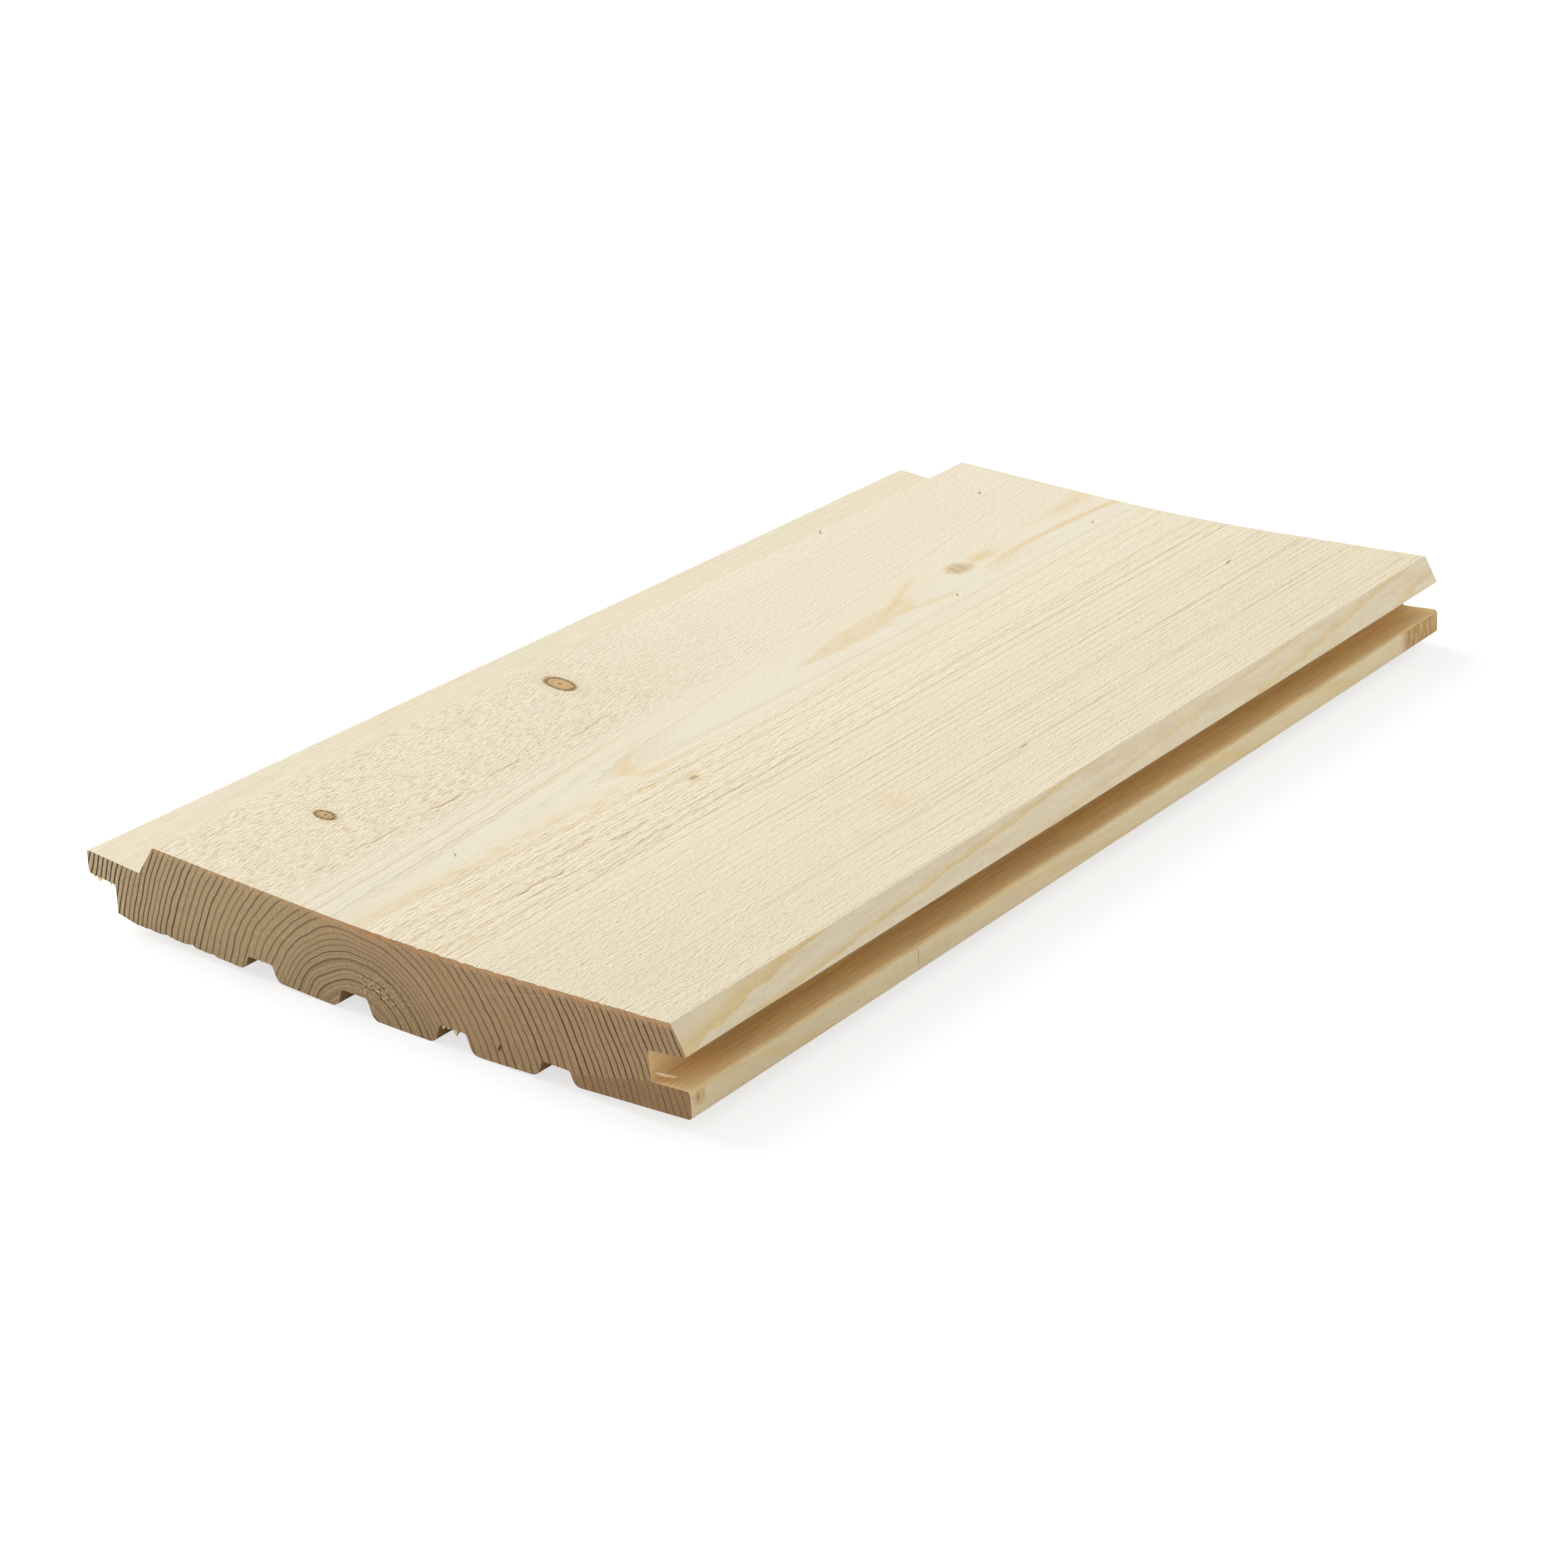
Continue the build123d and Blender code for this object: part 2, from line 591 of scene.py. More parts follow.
def knot_reach(knot, u, y):
    """How far out of a knot a point of the face lies: 1 at the knot's edge."""
    along = y - knot["along"] - (u - knot["across"]) * knot["lean"]
    across = u - knot["across"]
    wide = across * across * (4 / knot["width"] ** 2)
    long = along * along * (4 / knot["length"] ** 2)
    return (wide + long) ** 0.5


def leaned_left(u, y):
    """The place across the face, followed along the slant of its marks on the left."""
    from_end = y + length / 2
    return u + (left_lean + left_lean_growth / 2 * from_end) * from_end


def left_torn(u, y):
    """How torn the face is by its tongue edge, from 0 to 1: most at the near end."""
    return ease(u, -66, -60) * (1 - ease(u, -32, -23)) * (1 - 0.8 * ease(y, -75, 45))


def middle_torn(u, y):
    """How torn the face is in a strip past its flames, from 0 to 1."""
    return ease(u, -11, -5) * (1 - ease(u, 9, 19)) * (1 - 0.6 * ease(y, -60, 40))


def fleck_share(fleck, u, y):
    """1 inside a short mark of the saw, 0 outside it."""
    along = y - fleck["along"]
    across = (u - fleck["across"] - fleck["lean"] * along) / (fleck["width"] / 2)
    along = along / (fleck["length"] / 2)
    return 1 - ease((across * across + along * along) ** 0.5, 0.45, 1.15)


def tear_depth(u, y):
    """The depth of the long tears and lines in the face, which wander, break off and start again."""
    wander = 0.28 * wave(0.62 * y + 0.2 * u) + 0.16 * wave(1.37 * y + 0.5 * u)
    unbroken = 0.45 + 0.55 * wave(0.31 * y + 1.9 * u) * wave(0.13 * y + 0.7)
    depth = 0.0 * u
    for across, start, end, drift, deep in tears:
        line = u - across - drift * (y - start)
        inside = ease(y, start, start + 3) * (1 - ease(y, end - 3, end))
        looseness = deep / deepest_tear
        groove = 1 - ease(abs(line + looseness * wander), 0.08, 0.5)
        depth = depth + deep * groove * inside
    return depth * (0.35 + 0.65 * held(unbroken))


def torn_steps(across, y, seed):
    """Small ragged steps of torn fibres, from 0 to 1, along the given slant."""
    warp = bare_noise(across, y, 1.6, 4.5, seed) + 0.5 * bare_noise(across, y, 0.9, 2.2, seed + 1)
    steps = (across / torn_step_width + 0.9 * warp) % 1
    return steps ** 1.5 * ease(bare_noise(across, y, 1.5, 3.4, seed + 2), 0.3, 0.85)


def face_relief(u, y):
    """How far the sawn face lies below its level surface."""
    years = board_years(u + face_middle, y, np.full_like(u, face_height))
    relief = left_tear_depth * left_torn(u, y) * torn_steps(leaned_left(u, y), y, 11)
    relief += middle_tear_depth * middle_torn(u, y) * torn_steps(u + right_lean * y, y, 21)
    relief += ring_depth * late_wood(years) * ring_strength(years)
    relief += face_wave_depth * bare_noise(u, y, 9.0, 40.0, 15)
    relief = np.maximum(relief, tear_depth(u, y))
    near_edge = 1 - ease(y, -length / 2, -length / 2 + 1.2)
    chips = ease(u, -20, 5) * bare_noise(u, y, 0.7, 1.0, 17) ** 3
    relief += face_chip_depth * near_edge * chips
    for knot in (dark_knot, ringed_knot):
        away = knot_reach(knot, u, y)
        relief = relief * ease(away, 0.9, 1.6)
        relief += knot_edge_depth * hump(away, 1.0, 0.22)
    return relief


def planed_relief(x, y, z):
    """Small waves of the planer on the joint edges and the back, and the back's edge torn at the near end."""
    chipped = (1 - ease(y, -length / 2, -length / 2 + 3)) * (1 - ease(z, 2, 4)) * hump(x, -48, 18)
    chips = chipped * bare_noise(x, y, 1.4, 2.0, 33) ** 2
    return planer_wave_depth * bare_noise(x + z, y, 2.0, 12.0, 31) + back_chip_depth * chips


def board_rows():
    """Places along the board, from its near end to its far end."""
    part = np.linspace(0, 1, row_count)
    return -length / 2 + length * (near_row_share * part + (1 - near_row_share) * part * part)


def outward():
    """The direction straight out of the board at each point of its outline."""
    ahead = np.roll(outline, -1, axis=0) - np.roll(outline, 1, axis=0)
    ahead /= np.linalg.norm(ahead, axis=1)[:, None]
    return np.stack([-ahead[:, 1], ahead[:, 0]], axis=1)


def side_vertices():
    """The long surfaces of the board, row by row."""
    rows = board_rows()
    x = np.broadcast_to(outline[:, 0], (row_count, len(outline)))
    z = np.broadcast_to(outline[:, 1], (row_count, len(outline)))
    y = np.broadcast_to(rows[:, None], x.shape)
    on_face = np.array([surface == "face" for surface in surfaces])
    relief = np.where(on_face, face_relief(x - face_middle, y), planed_relief(x, y, z))
    out = outward()
    return np.stack([x - out[:, 0] * relief, y, z - out[:, 1] * relief], axis=2)


def inside_section(points, margin):
    """Which points lie inside the section, clear of its outline."""
    x = points[:, 0:1]
    z = points[:, 1:2]
    start = outline
    end = np.roll(outline, -1, axis=0)
    crosses = (start[:, 1] > z) != (end[:, 1] > z)
    rise = end[:, 1] - start[:, 1]
    rise = np.where(rise == 0, 1, rise)
    at = start[:, 0] + (z - start[:, 1]) * (end[:, 0] - start[:, 0]) / rise
    odd = (crosses & (x < at)).sum(axis=1) % 2 == 1
    nearest = ((x - start[:, 0]) ** 2 + (z - start[:, 1]) ** 2).min(axis=1) ** 0.5
    return odd & (nearest > margin)


def end_points(step, seed):
    """Points scattered over an end, about one every step."""
    random = np.random.default_rng(seed)
    low = outline.min(axis=0)
    high = outline.max(axis=0)
    across = np.arange(low[0], high[0], step)
    up = np.arange(low[1], high[1], step)
    grid = np.stack(np.meshgrid(across, up), axis=2).reshape(-1, 2)
    grid = grid + random.uniform(-0.3, 0.3, grid.shape) * step
    return grid[inside_section(grid, 0.5 * step)]


def end_relief(points):
    """How far a sawn end lies behind its level surface."""
    x, z = points[:, 0], points[:, 1]
    relief = end_saw_depth * bare_noise(x, z, 1.2, 1.2, 41)
    gritty = hump(x, 2, 11) * hump(z, 6.5, 4)
    return relief + crumbled_depth * gritty * bare_noise(x, z, 0.9, 0.9, 42)


def added(name, data):
    """A new object in the scene, made of a mesh, a light or a camera."""
    thing = bpy.data.objects.new(name, data)
    bpy.context.scene.collection.objects.link(thing)
    return thing


def meshed(name, vertices, faces, materials):
    """A new object made of a mesh, its points given in millimetres."""
    mesh = bpy.data.meshes.new(name)
    mesh.from_pydata([Vector(v) * MM for v in vertices], [], faces)
    for material in materials:
        mesh.materials.append(material)
    return added(name, mesh)


def board_piece(materials):
    """The whole board as one closed mesh."""
    sides = side_vertices()
    count = len(outline)
    vertices = sides.reshape(-1, 3).tolist()
    faces = []
    kinds = []
    for row in range(row_count - 1):
        for i in range(count):
            k = (i + 1) % count
            faces.append((row * count + i, row * count + k, (row + 1) * count + k, (row + 1) * count + i))
            kinds.append(surfaces[i])
    ring = [(i, (i + 1) % count) for i in range(count)]
    near = (-length / 2, 0, near_end_step, 51)
    far = (length / 2, (row_count - 1) * count, far_end_step, 52)
    for y, first, step, seed in (near, far):
        inner = end_points(step, seed)
        flat = [Vector(point) for point in np.vstack([outline, inner])]
        _, _, triangles, origins, _, _ = delaunay_2d_cdt(flat, ring, [], 1, 1e-6)
        new = [first + k[0] if k[0] < count else len(vertices) + k[0] - count for k in origins]
        toward = 1 if y < 0 else -1
        depth = end_relief(inner)
        vertices += [(point[0], y + toward * deep, point[1]) for point, deep in zip(inner, depth)]
        for triangle in triangles:
            order = triangle if y < 0 else triangle[::-1]
            faces.append(tuple(new[k] for k in order))
            kinds.append("end")
    board = meshed("rough_sawn_board", vertices, faces, materials.values())
    mesh = board.data
    names = list(materials)
    mesh.polygons.foreach_set("material_index", [names.index(kind) for kind in kinds])
    mesh.polygons.foreach_set("use_smooth", [True] * len(faces))
    mesh.set_sharp_from_angle(angle=sharp_edge)
    return board


# colours of the bare wood; some also carry painted shade or painted light, as noted beside them
face_pale = tint(242, 231, 206)
face_honey = tint(239, 226, 197)
band_cream = tint(241, 232, 211)
face_line = tint(218, 202, 162)
flame_tan = tint(236, 214, 172)
# painted shade of the torn hollows, partly the tan of the torn marks themselves
tear_shade = tint(221, 193, 142)
# painted shade in the long tears and the lip's crack
tear_painted_shade = tint(172, 138, 80)
fleck_grey = tint(140, 124, 92)
halo_tan = tint(226, 205, 160)
knot_bark = tint(128, 86, 44)
knot_heart = tint(228, 194, 140)
knot_grey = tint(208, 185, 150)
tongue_cream = tint(237, 227, 201)
# darker than the face to offset the lamp that faces this side: painted shade
side_cream = tint(216, 203, 174)
# paler than the face, standing in for lamp light that doesn't reach the bevel: painted light
bevel_cream = tint(252, 236, 202)
lip_tan = tint(248, 229, 186)
slot_honey = tint(244, 215, 160)
back_cream = tint(240, 226, 194)
# painted shade: the relief grooves' walls are coloured darker than the back, for the shade inside them
relief_painted_shade = tint(158, 122, 82)
edge_line = tint(224, 182, 118)
edge_streak = tint(247, 218, 160)
# painted shade deep in the slot, also the colour of its darker streaks
slot_shade_and_streak_brown = tint(150, 108, 62)
lip_knot = tint(206, 158, 92)
fibre_cream = tint(246, 226, 184)
end_brown = tint(203, 175, 133)
end_red = tint(193, 160, 120)
end_lip = tint(172, 134, 94)
end_line = tint(84, 55, 29)
end_warm = tint(226, 184, 134)
end_burn = tint(206, 150, 100)
end_light = tint(226, 204, 164)

# saw marks across the near end: left end of each line, and how fast it rises to the right
lip_saw_line = dict(across=51.3, up=4.6, slope=0.248)
light_saw_line = dict(across=26.8, up=13.5, slope=0.2236)

# a small split in the end: across, up, and its lean
end_split = dict(across=30.4, along=3.6, width=0.7, length=1.7, lean=0.4)


def knot_color(finish, color, knot, u, y, halo, bark, dark):
    """The face's colour with a knot in it: a halo, a dark edge, its own rings and its dark pith."""
    away = knot_reach(knot, u, y)
    away = away + 0.2 * (finish.noise(u * 1.2, y * 1.2) - 0.5)
    color = finish.blend(color, halo_tan, halo * hump(away, 1.0, 1.3))
    inside = 1 - ease(away, 0.86, 1.0)
    rings = 0.5 + 0.5 * wave(away * 13.0 + 1.2)
    heart = finish.blend(knot_heart, knot_bark, dark + 0.3 * rings)
    color = finish.blend(color, heart, inside)
    edge = hump(away, 0.92, 0.33) * bark
    pith = (1 - ease(away, 0.08, 0.3)) * 0.7
    return finish.blend(color, knot_bark, held(edge + pith))


def face_knots(finish, color, u, y, frayed):
    """The face's colour with its four knots, and the cloud of tan beside the grey one."""
    color = knot_color(finish, color, dark_knot, u, y, 0.4, 1.0, 0.2)
    color = knot_color(finish, color, ringed_knot, u, y, 0.35, 0.85, 0.0)
    pin = knot_reach(pin_knot, u, y) + 1.6 * frayed
    color = finish.blend(color, halo_tan, 0.6 * (1 - ease(pin, 0.8, 2.2)))
    color = finish.blend(color, knot_bark, 0.46 * (1 - ease(pin, 0.25, 0.95)))
    grey = knot_reach(grey_knot, u, y) + 0.5 * frayed
    color = finish.blend(color, band_cream, 0.7 * hump(grey, 1.3, 0.6))
    color = finish.blend(color, halo_tan, 0.6 * (1 - ease(grey, 0.85, 1.1)))
    grain = 0.5 + 0.5 * wave(y * 2.3 + 0.6 * u)
    color = finish.blend(color, knot_grey, held(0.55 + 0.5 * grain) * (1 - ease(grey, 0.35, 1.0)))
    cloud = hump(u, -23.2, 3.2) * ease(y, 77, 81) * (1 - ease(y, 84, 90))
    return finish.blend(color, flame_tan, held(cloud * (1.1 + 2.4 * frayed)))


def flame_share(u, y, frayed):
    """The tan flames and lines, where the face cuts late wood almost flat."""
    ragged = 1.6 * frayed
    # the tip of the first flame: a soft hook that opens toward the far end
    up = u + 12.2
    hook = y + 55.4 - (0.24 * up + 0.45) * up
    tip = ease(hook, -1.0, 2.0) * (1 - ease(hook, 3.0, 7.0)) * hump(u, -14.4, 8.0)
    under_tip = hump(u + 9.4 - 0.03 * (y + 50), 0.8 * ragged, 1.6)
    under_tip = under_tip * ease(y, -55, -51) * (1 - ease(y, -44, -24))
    # the long flame, narrow at both ends, and the two lines that it splits into before the knot
    middle = -18.1 - 0.07 * (y - 17)
    half = 3.2 * ease(y, 4, 27) + 0.1
    off = abs(u - middle) / half + ragged
    flame = (1 - ease(off, 0.6, 1.2)) * ease(y, 5, 12) * (1 - ease(y + 2.5 * abs(u - middle), 50, 60))
    split = ease(y, 42, 50) * (1 - ease(y, 58, 66))
    upper = hump(u + 23.0 + 0.38 * (y - 50), 0.5 * ragged, 2.1) * split
    lower = hump(u + 17.4 - 0.16 * (y - 50), 0.5 * ragged, 1.7) * split
    # the curved line past the knot, with a haze beside it, and the patch at the far end
    beyond = y - 102
    line = -19.9 + 0.0024 * beyond * beyond
    curve = hump(u - line, 0.3 * ragged, 1.5) * ease(y, 74, 86) * (1 + 0.5 * ease(y, 98, 128))
    haze = hump(u - line - 2.0, ragged, 3.4) * ease(y, 72, 80) * (1 - ease(y, 92, 106))
    patch = hump(u + 0.12 * (y - 124), -26.3 + ragged, 3.4) * ease(y, 110, 120)
    streak = hump(u, -26.0 + ragged, 1.3) * ease(y, 96, 106) * 0.4
    near = 1.1 * tip + 0.75 * under_tip
    far = curve + 0.35 * haze + 0.65 * patch + streak
    return near + 0.85 * (flame + upper + lower) + far


def rough_face():
    """The rough sawn face, with its flames, knots and tears."""
    finish = Finish("rough sawn face")
    x, y, z = finish.place()
    u = x - face_middle
    left = left_torn(u, y)
    middle = middle_torn(u, y)
    plain = ease(u, 10, 22)
    past_flames = hump(u, 11.0, 8.0)

    # short torn marks on the left, longer ones past the flames, thin ribs everywhere
    left_marks = finish.noise(leaned_left(u, y) * 3.0, y * 0.38) - 0.5
    middle_marks = finish.noise((u + right_lean * y) * 2.0, y * 0.32) - 0.5
    short_marks = finish.noise((u + right_lean * y) * 1.9, y * 0.7) - 0.5
    ribs = finish.noise((u + 0.02 * y) * 1.3, y * 0.045, detail=1.0) - 0.5
    fuzz = finish.noise((u + right_lean * y) * 4.0, y * 0.9) - 0.5
    near = 1 - ease(y, -118, -55)
    far = ease(y, 45, 85)
    ribbed = (0.4 + 0.6 * ease(y, -100, -20)) * plain
    # how strongly each kind of mark shows in each strip of the face
    marks = 1.75 * left * left_marks + (0.8 * middle + 0.2 + 0.1 * near) * middle_marks
    marks = marks + (0.4 + 0.3 * near) * plain * short_marks
    marks = marks + (0.25 * middle + 0.34 * ribbed + 0.08 + 0.3 * far * past_flames) * ribs

    # year rings, with their edges frayed by the saw
    frayed = finish.noise(u * 0.8, y * 0.25) - 0.5
    years = board_years(x, y, z) + 0.25 * frayed
    ringed = late_wood(years) * ring_strength(years)
    band = hump(u, -21.0, 11.0) * (1 - ease(y, -60, -20))
    between = late_wood(years * 2 + 0.35) * band

    tone = finish.noise(x * 0.04, y * 0.015)
    color = finish.blend(face_pale, face_honey, ease(u, -40, 55) * 0.7 + ease(tone, 0.35, 0.7) * 0.3)
    color = finish.blend(color, band_cream, hump(u, -17, 9) * 0.8)
    lines = ringed * (0.16 + 0.4 * band + 0.35 * middle + 0.36 * ribbed + (0.3 + 0.3 * far) * past_flames)
    color = finish.blend(color, face_line, held(lines + 0.3 * between - 0.25 * left))
    color = finish.blend(color, flame_tan, held(0.6 * middle * ringed))
    color = finish.blend(color, flame_tan, held(flame_share(u, y, frayed) * (0.82 + 1.3 * frayed)))
    warm_band = hump(u, -9.9, 2.9) * (1 - ease(y, -78, -60)) * (0.45 + 1.5 * frayed)
    warm_end = hump(u + 0.35 * y, -31.0, 2.4) * ease(y, -76, -70) * (1 - ease(y, -62, -56)) * 0.4
    color = finish.blend(color, flame_tan, held(warm_band + warm_end))
    patch = hump(u, 40, 8) * hump(y, -38, 8) * (0.75 + 1.2 * frayed)
    color = finish.blend(color, flame_tan, held(patch * 0.6))

    color = face_knots(finish, color, u, y, frayed)

    # painted shade in the hollows, partly the wood's own tan dashes: hollows are darker than the fibres that
    # stand up
    tear = tear_depth(u, y)
    share = -(1.9 + 0.9 * left + 0.6 * middle) * marks - 0.16 - 0.03 * left
    color = finish.blend(color, tear_shade, held(share))
    color = finish.shaded(color, 0.99 + 0.13 * fuzz + 0.075 * left + 0.05 * middle)
    # painted shade in the long tears
    color = finish.blend(color, tear_painted_shade, held(2.1 * tear))
    marked = fleck_share(flecks[0], u, y)
    for fleck in flecks[1:]:
        marked = marked + fleck_share(fleck, u, y)
    color = finish.blend(color, fleck_grey, held(marked) * 0.75)
    height = (0.5 - 0.27 * left - 0.1 * middle) * marks + 0.045 * fuzz
    height = height - (0.05 + 0.12 * band + 0.06 * past_flames) * ringed
    return finish.wood(color, 0.8, height)


def end_grain():
    """The cross-cut ends, with the saw's marks and the crumbled wood by the pith."""
    finish = Finish("end grain")
    x, y, z = finish.place()
    wobble = finish.noise(x * 0.16, z * 0.16, detail=1.0) - 0.5
    years = board_years(x, y, z) + 0.45 * wobble
    late = late_wood(years) * (0.3 + 0.7 * ring_strength(years))
    # fine rings close to the pith
    fine = late_wood(years * 2.4) * (1 - ease(years, 7, 12))
    streaks = finish.noise(x * 2.2 + z * 0.6, z * 0.5) - 0.5
    grit = finish.noise(x * 2.4, z * 2.4, detail=4.0, roughness=0.75) - 0.5
    specks = finish.noise(x * 1.5, z * 2.0) - 0.5
    left = 1 - ease(x, -62, -25)
    right = ease(x, -40, 40)
    tongue = 1 - ease(x, -66, -62)
    # a soft dark side to each year, wider than its late wood
    broad = 0.5 + 0.5 * wave(2 * pi * years - 4.0)
    color = finish.blend(end_brown, end_red, right)
    color = finish.blend(color, end_light, 0.6 * tongue + 0.12 * left)
    over_line = z - lip_saw_line["up"] - (x - lip_saw_line["across"]) * lip_saw_line["slope"]
    lip = (1 - ease(over_line, -0.3, 0.1)) * ease(x, 42, 50)
    color = finish.blend(color, end_lip, lip * 0.75)
    dark_years = 0.74 + 0.4 * left + 0.38 * tongue + 0.5 * ease(x, 18, 60) - 0.15 * hump(x, -4, 14)
    dark_years = dark_years * (1 - 0.5 * lip)
    soft_years = 0.3 * tongue + 0.1 * left
    color = finish.blend(color, end_line, held(late * dark_years + soft_years * broad + 0.42 * fine))
    below_face = face_height + cup_rise(x - face_middle) - z
    under_face = (1 - ease(below_face, 0.2, 1.8)) * (0.45 + 0.35 * ease(x, -25, 0))
    color = finish.blend(color, end_warm, held(under_face * (1 + 2.0 * streaks)))
    burn = (1 - ease(below_face, 0.4, 1.7)) * (0.7 * hump(x, 6, 20) + 0.25 * ease(x, 10, 20))
    color = finish.blend(color, end_burn, held(burn * (1 + 2.0 * streaks + 1.5 * wobble)))
    crumbled = hump(x, 2, 12) * hump(z, 6.5, 4.5)
    color = finish.blend(color, end_light, held(crumbled * (6.5 * specks - 0.3)))
    color = finish.blend(color, end_line, held(crumbled * (-5 * specks - 0.4)))
    off_light = z - light_saw_line["up"] - (x - light_saw_line["across"]) * light_saw_line["slope"]
    light = hump(off_light, 0, 0.25) * ease(x, 24, 28) * (1 - ease(x, 41, 46))
    color = finish.blend(color, end_light, light * 0.2)
    split = fleck_share(end_split, x, z)
    color = finish.blend(color, end_line, split * 0.9)
    lower_left = left * (1 - ease(z, 2, 6))
    shade = 0.07 * lower_left + 0.03 * hump(x, 2, 30)
    color = finish.shaded(color, 1.0 + 0.85 * grit + 0.35 * streaks - shade)
    return finish.wood(color, 0.85, 0.25 * grit + 0.3 * crumbled * specks - 0.06 * late)


def planed_edge(name, tone, lines, stains, streaks=(), top=0.0, bottom=0.0, extra=None):
    """A planed surface: year rings cut lengthwise, tan stains, and slanted streaks from its top to its
    bottom edge, each given by its places along the board at the top and at the bottom."""
    finish = Finish(name)
    x, y, z = finish.place()
    ragged = finish.noise(x * 0.5 + z * 0.5, y * 0.12) - 0.5
    years = board_years(x, y, z) + 0.35 * ragged
    share = late_wood(years) * ring_strength(years) * lines
    stain = finish.noise(x * 0.25 + z * 0.25, y * 0.03)
    share = share + ease(stain, 0.5, 0.75) * stains
    color = finish.blend(tone, edge_line, held(share))
    for start, end, width, strength in streaks:
        down = (top - z) / (top - bottom)
        middle = start + (end - start) * down + 18 * ragged
        # sharp on one side, as late wood is, and fading on the other
        streak = ease(y, middle - width, middle) * (1 - ease(y, middle, middle + 3))
        color = finish.blend(color, edge_streak, streak * strength)
    if extra:
        color = extra(finish, color, x, y, z)
    fibre = finish.noise(x * 2.6 + z * 2.6, y * 0.12) - 0.5
    grit = finish.noise(x * 1.7 + z * 1.7, y * 1.1) - 0.5
    color = finish.shaded(color, 1.0 + 0.2 * fibre + 0.12 * grit)
    cutter = wave(y * 3.7) * 0.006
    return finish.wood(color, 0.65, 0.08 * fibre + 0.05 * grit + cutter)


def bevel_tone(finish, color, x, y, z):
    """The bevel pales toward its far end."""
    return finish.shaded(color, 0.96 + 0.1 * ease(y, -131, 60))


def slot_painted_shade_and_streaks(finish, color, x, y, z):
    """Painted shade deep inside the slot, most at its back corner, weaker at the near end and toward the far
    end, with darker streaks along it.
    """
    across = x - face_middle
    # painted shade: darker toward the slot's back, most at its back corner
    inside = 0.2 * (1 - ease(across, slot_back, lip_side))
    inside = inside + 0.35 * (1 - ease(across, slot_back, slot_back + 1.3))
    inside = inside * (0.35 + 0.65 * ease(y, -132, -119)) * (1 - 0.35 * ease(y, -80, 120))
    fuzzy = finish.noise(x * 1.6, y * 0.05 + x * 0.15) - 0.5
    return finish.blend(color, slot_shade_and_streak_brown, held(inside + 0.6 * fuzzy))


def lip_marks(finish, color, x, y, z):
    """A knot at the far end of the lip, a small one at its near end, and a hairline crack. The lip pales
    toward its far end."""
    color = finish.shaded(color, 0.9 + 0.17 * ease(y, -131, 60))
    patchy = finish.noise(y * 0.9, z * 0.2) - 0.5
    far_knot = ease(y, 114, 118) * (0.8 + 1.3 * patchy)
    near_knot = hump(y, -129.3, 2.4) * hump(z, lip_top - 1.6, 2.2) * (0.9 + 2.0 * patchy)
    crack = hump(y, -66.6, 0.3) * (1 - ease(z, lip_top - 1.0, lip_top - 0.4)) * held(0.5 + 1.6 * patchy)
    color = finish.blend(color, lip_knot, held(far_knot))
    color = finish.blend(color, lip_knot, held(near_knot))
    # the crack's dark line is painted shade
    return finish.blend(color, tear_painted_shade, crack)


# slanted streaks on the bevel and the lip: place along at the top edge, at the bottom edge, width, strength
bevel_streaks = [
    (-90, -136, 34, 0.95),
    (-2, -113, 26, 0.9),
    (80, -29, 20, 0.6),
    (123, 52, 20, 0.75),
    (150, 112, 12, 0.6),
]
lip_streaks = [
    (-122, -88, 16, 0.6),
    (-43, 14, 24, 0.7),
    (34, 57, 15, 0.75),
    (78, 101, 15, 0.65),
]


# fibres torn out of the near end by the saw: left and right, the level they hang from, the tip's place and
# level, and how far back they reach from just behind the end
fibre_setback = 0.35
torn_fibres = [
    dict(left=-72.5, right=-71.0, root=10.1, tip=-72.0, low=9.1, back=2.4),
    dict(left=-71.7, right=-69.5, root=10.1, tip=-70.6, low=8.5, back=3.4),
    dict(left=-70.0, right=-69.0, root=10.1, tip=-69.3, low=9.4, back=1.8),
    dict(left=-68.0, right=-66.6, root=10.2, tip=-67.6, low=8.5, back=2.2),
    dict(left=-67.2, right=-65.6, root=10.2, tip=-66.2, low=8.0, back=3.2),
    dict(left=-28.6, right=-27.2, root=4.1, tip=-28.0, low=3.4, back=2.0),
    dict(left=-27.4, right=-26.2, root=4.1, tip=-26.7, low=3.5, back=2.6),
    dict(left=-26.5, right=-25.4, root=4.1, tip=-25.8, low=3.4, back=1.6),
    dict(left=16.5, right=17.8, root=4.1, tip=16.9, low=3.1, back=2.4),
    dict(left=17.5, right=18.9, root=4.1, tip=18.1, low=3.4, back=2.2),
    dict(left=18.8, right=20.3, root=4.1, tip=20.0, low=2.5, back=3.4),
]


def torn_fibre_piece(material):
    """The short splinters that hang under the tongue and in the relief grooves at the near end."""
    vertices = []
    faces = []
    front = -length / 2 + fibre_setback
    for fibre in torn_fibres:
        first = len(vertices)
        middle = (fibre["left"] + fibre["right"]) / 2
        vertices += [
            (fibre["left"], front, fibre["root"]),
            (fibre["right"], front, fibre["root"]),
            (fibre["tip"], front, fibre["low"]),
            (middle, front + fibre["back"], fibre["root"]),
        ]
        sides = [(0, 2, 1), (0, 3, 2), (2, 3, 1), (0, 1, 3)]
        faces += [tuple(first + k for k in side) for side in sides]
    small_piece("torn_fibres", vertices, faces, material)


# the shaving: where it starts and how far it reaches across, along and up, and its width and thickness
shaving_start = (65.1, -length / 2 + 0.6, 8.6)
shaving_reach = (3.3, 1.6, 0.6)
shaving_width = 0.8
shaving_thickness = 0.3
shaving_steps = 14


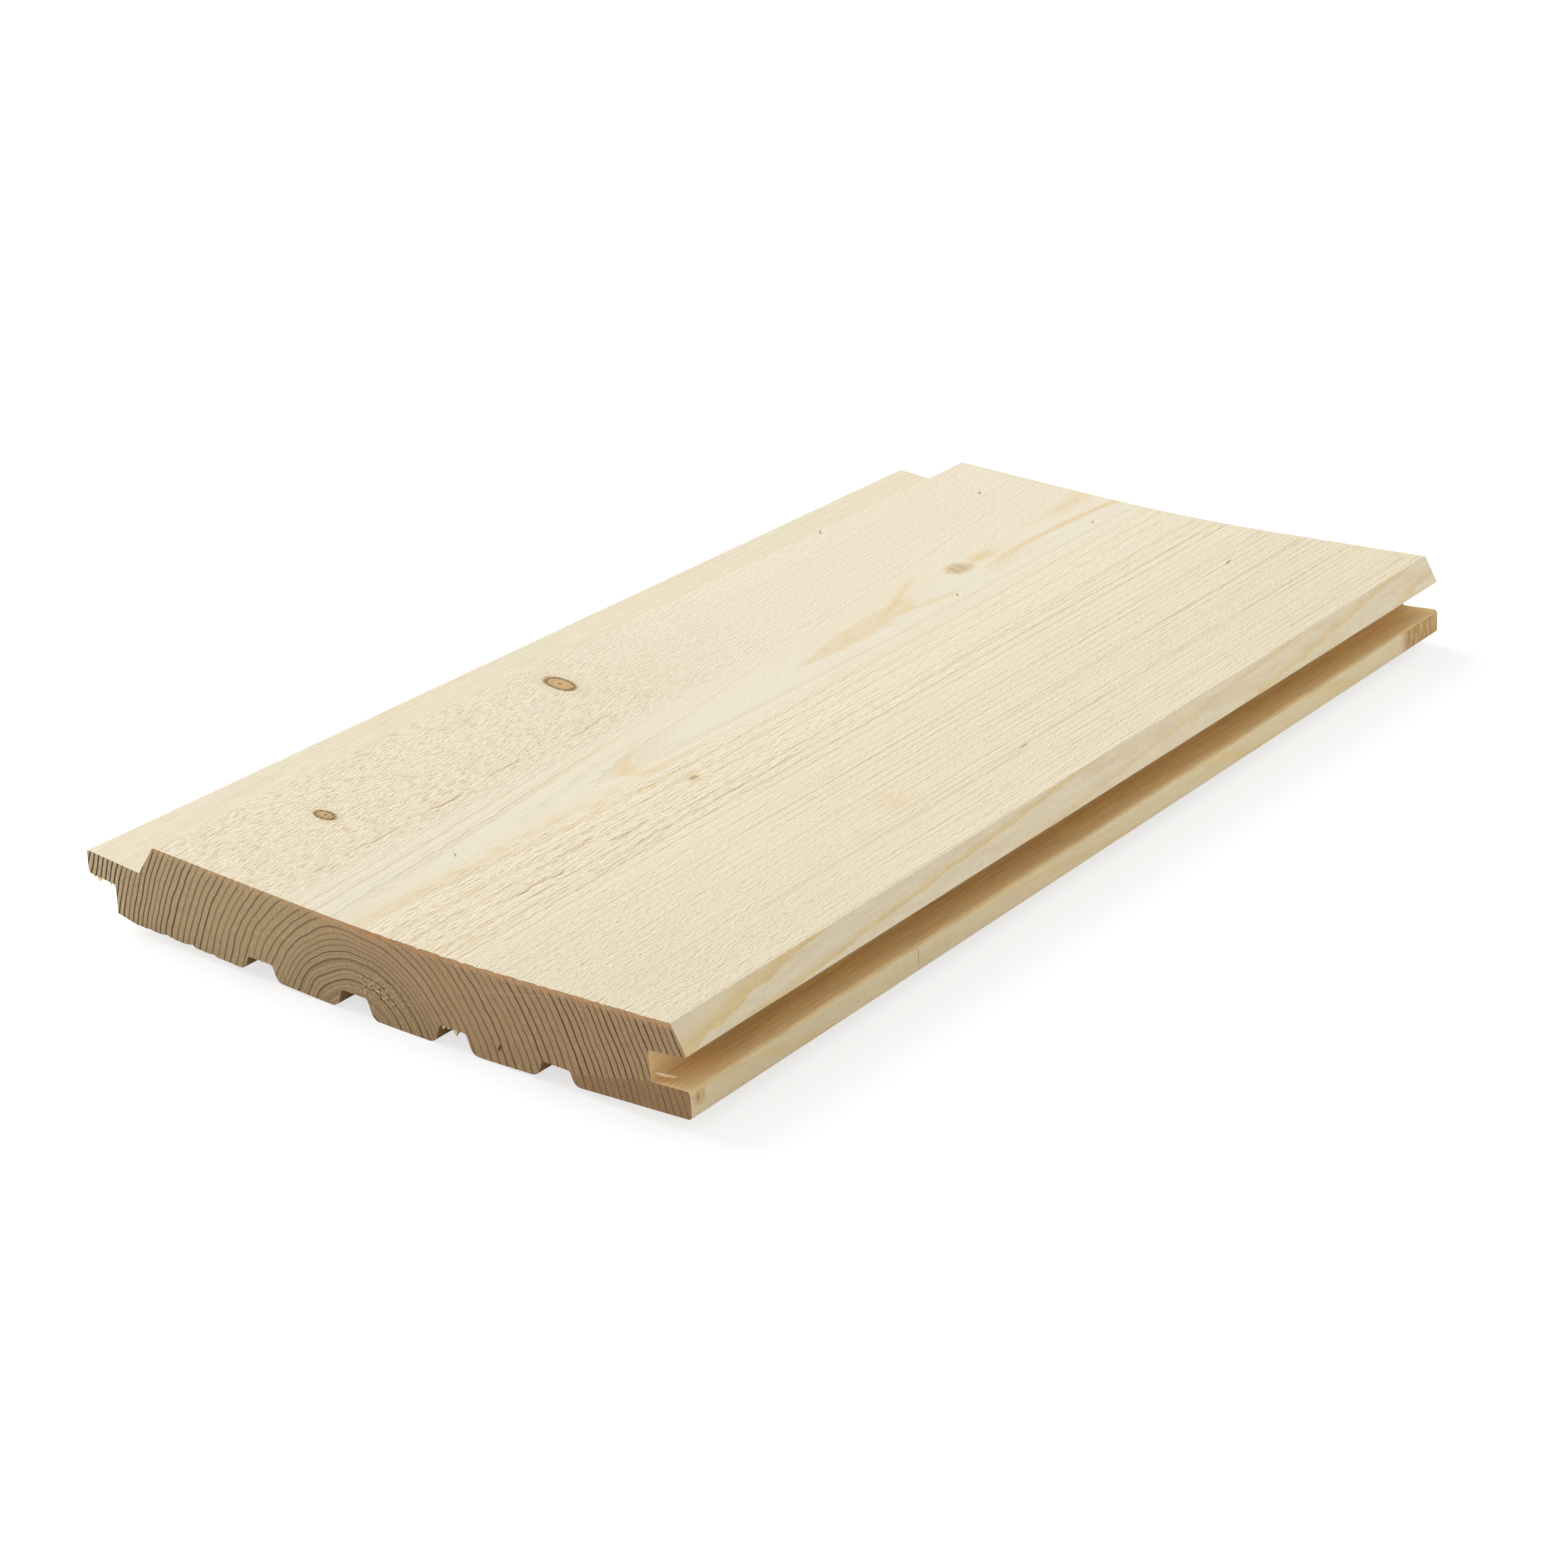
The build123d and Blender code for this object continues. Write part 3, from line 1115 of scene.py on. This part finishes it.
def curled_shaving(material):
    """A thin curled shaving left in the slot at the near end."""
    vertices = []
    faces = []
    for i in range(shaving_steps + 1):
        part = i / shaving_steps
        x = shaving_start[0] + shaving_reach[0] * part
        y = shaving_start[1] + shaving_reach[1] * part
        z = shaving_start[2] + shaving_reach[2] * (1 - part) ** 2
        narrow = sin(pi * (0.12 + 0.76 * part))
        for side, rise in ((-1, 0), (1, 0), (0, shaving_thickness)):
            vertices.append((x, y + side * shaving_width / 2 * narrow, z + rise * narrow))
    for i in range(shaving_steps):
        a, b = 3 * i, 3 * i + 3
        faces += [(a + k, a + (k + 1) % 3, b + (k + 1) % 3, b + k) for k in range(3)]
    last = 3 * shaving_steps
    faces += [(0, 2, 1), (last, last + 1, last + 2)]
    small_piece("curled_shaving", vertices, faces, material)


def small_piece(name, vertices, faces, material):
    """A small closed piece that rides with the board."""
    piece = meshed(name, vertices, faces, [material])
    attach(piece, "root")


# the floor, just below the board
floor_reach = 6000.0
floor_level = -0.05

# light: an even white room, and one large lamp on the tongue side, which rakes across the rough face
floor_glow = 0.55
floor_glow_strength = 1.27
room_strength = 0.62
seen_room_strength = 1.15
lamp_power = 26.0
lamp_size = 1.3
lamp_place = Vector((-1.5, 0.1, 1.35))


def stage_floor():
    """A plain pale floor that shows white and keeps the board's shadow."""
    finish = Finish("white floor")
    seen = finish.node("ShaderNodeLightPath", output="Is Camera Ray")
    plain = finish.node("ShaderNodeBsdfDiffuse", sockets={"Color": (0.9, 0.9, 0.9, 1.0)})
    white = {"Color": (1.0, 1.0, 1.0, 1.0), "Strength": floor_glow_strength}
    glow = finish.node("ShaderNodeEmission", sockets=white)
    surface = finish.node("ShaderNodeMixShader", sockets={0: seen * floor_glow, 1: plain, 2: glow})
    finish.node("ShaderNodeOutputMaterial", sockets={"Surface": surface})
    sides = ((-1, -1), (1, -1), (1, 1), (-1, 1))
    corners = [(x * floor_reach, y * floor_reach, floor_level) for x, y in sides]
    meshed("floor", corners, [(0, 1, 2, 3)], [finish.material])


def room_light():
    """White all round for the camera, and a plain even light on the board."""
    world = bpy.data.worlds.new("room")
    world.use_nodes = True
    bpy.context.scene.world = world
    tree = world.node_tree
    seen = tree.nodes.new("ShaderNodeLightPath")
    strength = tree.nodes.new("ShaderNodeMapRange")
    strength.inputs["To Min"].default_value = room_strength
    strength.inputs["To Max"].default_value = seen_room_strength
    background = tree.nodes["Background"]
    background.inputs["Color"].default_value = (1.0, 1.0, 1.0, 1.0)
    tree.links.new(seen.outputs["Is Camera Ray"], strength.inputs["Value"])
    tree.links.new(strength.outputs[0], background.inputs["Strength"])


def lamp():
    """One large soft lamp."""
    data = bpy.data.lights.new("soft_lamp", "AREA")
    data.energy = lamp_power
    data.size = lamp_size
    holder = added("soft_lamp", data)
    holder.location = lamp_place
    holder.rotation_euler = (-lamp_place).to_track_quat("-Z", "Y").to_euler()


# the camera
camera_place = Vector((388.3, -503.8, 278.5)) * MM
camera_target = Vector((8.0, -24.0, 10.0)) * MM
camera_roll = radians(-2.13)
camera_lens = 78.3


def camera():
    """The photographer's place, with its small roll."""
    ahead = (camera_target - camera_place).normalized()
    level_right = ahead.cross(Vector((0, 0, 1))).normalized()
    level_up = level_right.cross(ahead)
    right = level_right * cos(camera_roll) + level_up * sin(camera_roll)
    up = right.cross(ahead)
    data = bpy.data.cameras.new("camera")
    data.lens = camera_lens
    data.sensor_width = 36.0
    data.clip_start = 0.01
    holder = added("camera", data)
    holder.matrix_world = Matrix((right, up, -ahead)).transposed().to_4x4()
    holder.location = camera_place
    bpy.context.scene.camera = holder


bpy.context.scene.view_settings.view_transform = "Standard"
stage_floor()
room_light()
lamp()
camera()

fibre_finish = planed_edge("torn fibres", fibre_cream, 0.0, 0.0)
board = board_piece({
    "face": rough_face(),
    "end": end_grain(),
    "bevel": planed_edge("bevel", bevel_cream, 0.15, 0.1, bevel_streaks, bevel_top, bevel_bottom, bevel_tone),
    "lip": planed_edge("lip edge", lip_tan, 0.1, 0.15, lip_streaks, lip_top, lip_bottom, lip_marks),
    "slot": planed_edge("slot walls", slot_honey, 0.3, 0.2, extra=slot_painted_shade_and_streaks),
    "tongue": planed_edge("tongue", tongue_cream, 0.2, 0.1),
    "side": planed_edge("tongue side", side_cream, 0.3, 0.1),
    "back": planed_edge("planed back", back_cream, 0.45, 0.25),
    # the relief grooves take a painted shade colour
    "relief": planed_edge("relief grooves", relief_painted_shade, 0.3, 0.2),
})
torn_fibre_piece(fibre_finish)
curled_shaving(fibre_finish)
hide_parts("cladding_board")
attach(board, "root")
